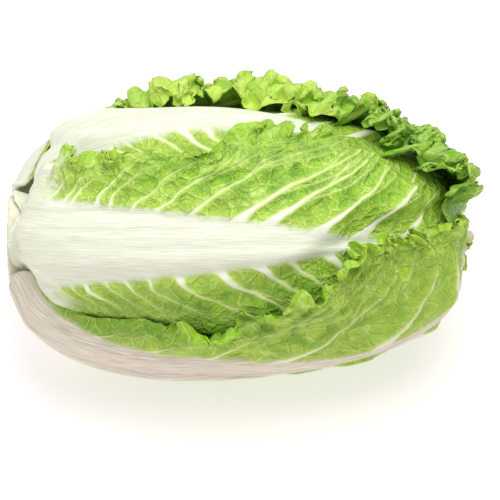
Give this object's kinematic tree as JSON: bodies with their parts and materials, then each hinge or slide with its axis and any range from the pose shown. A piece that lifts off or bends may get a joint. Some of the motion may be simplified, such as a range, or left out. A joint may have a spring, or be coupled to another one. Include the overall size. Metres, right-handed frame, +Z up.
{
  "type": "napa cabbage",
  "caption": "Whole napa cabbage head lying on its side: white-ribbed outer leaves with frilled green blades wrapped round a stem core.",
  "frame": {"origin": "on the resting surface, under the middle of the head's box", "axes": "+X from the cut stem end to the leaf tips, +Z up, front leaf facing -Y and up"},
  "size_m": [0.2942, 0.1718, 0.169],
  "materials": {
    "stem": "moist cut stem, off-white with a brown-edged cut face",
    "outer_leaf": "satin leaf, white rib, pale veins and bright green blade",
    "wrapping_leaf": "satin leaf, white rib and yellow-green blade",
    "heart_leaf": "satin leaf, white rib and pale yellow blade"
  },
  "bodies": {
    "root": {"stem_core": "stem", "outer_leaf_1": "outer_leaf", "outer_leaf_2": "outer_leaf", "outer_leaf_3": "outer_leaf", "outer_leaf_4": "outer_leaf", "outer_leaf_5": "outer_leaf", "wrapping_leaf_1": "wrapping_leaf", "wrapping_leaf_2": "wrapping_leaf", "wrapping_leaf_3": "wrapping_leaf", "wrapping_leaf_4": "wrapping_leaf", "wrapping_leaf_5": "wrapping_leaf", "wrapping_leaf_6": "wrapping_leaf", "wrapping_leaf_7": "wrapping_leaf", "wrapping_leaf_8": "wrapping_leaf", "wrapping_leaf_9": "wrapping_leaf", "wrapping_leaf_10": "wrapping_leaf", "heart_leaf_1": "heart_leaf", "heart_leaf_2": "heart_leaf", "heart_leaf_3": "heart_leaf", "heart_leaf_4": "heart_leaf", "heart_leaf_5": "heart_leaf", "heart_leaf_6": "heart_leaf"}
  },
  "joints": []
}
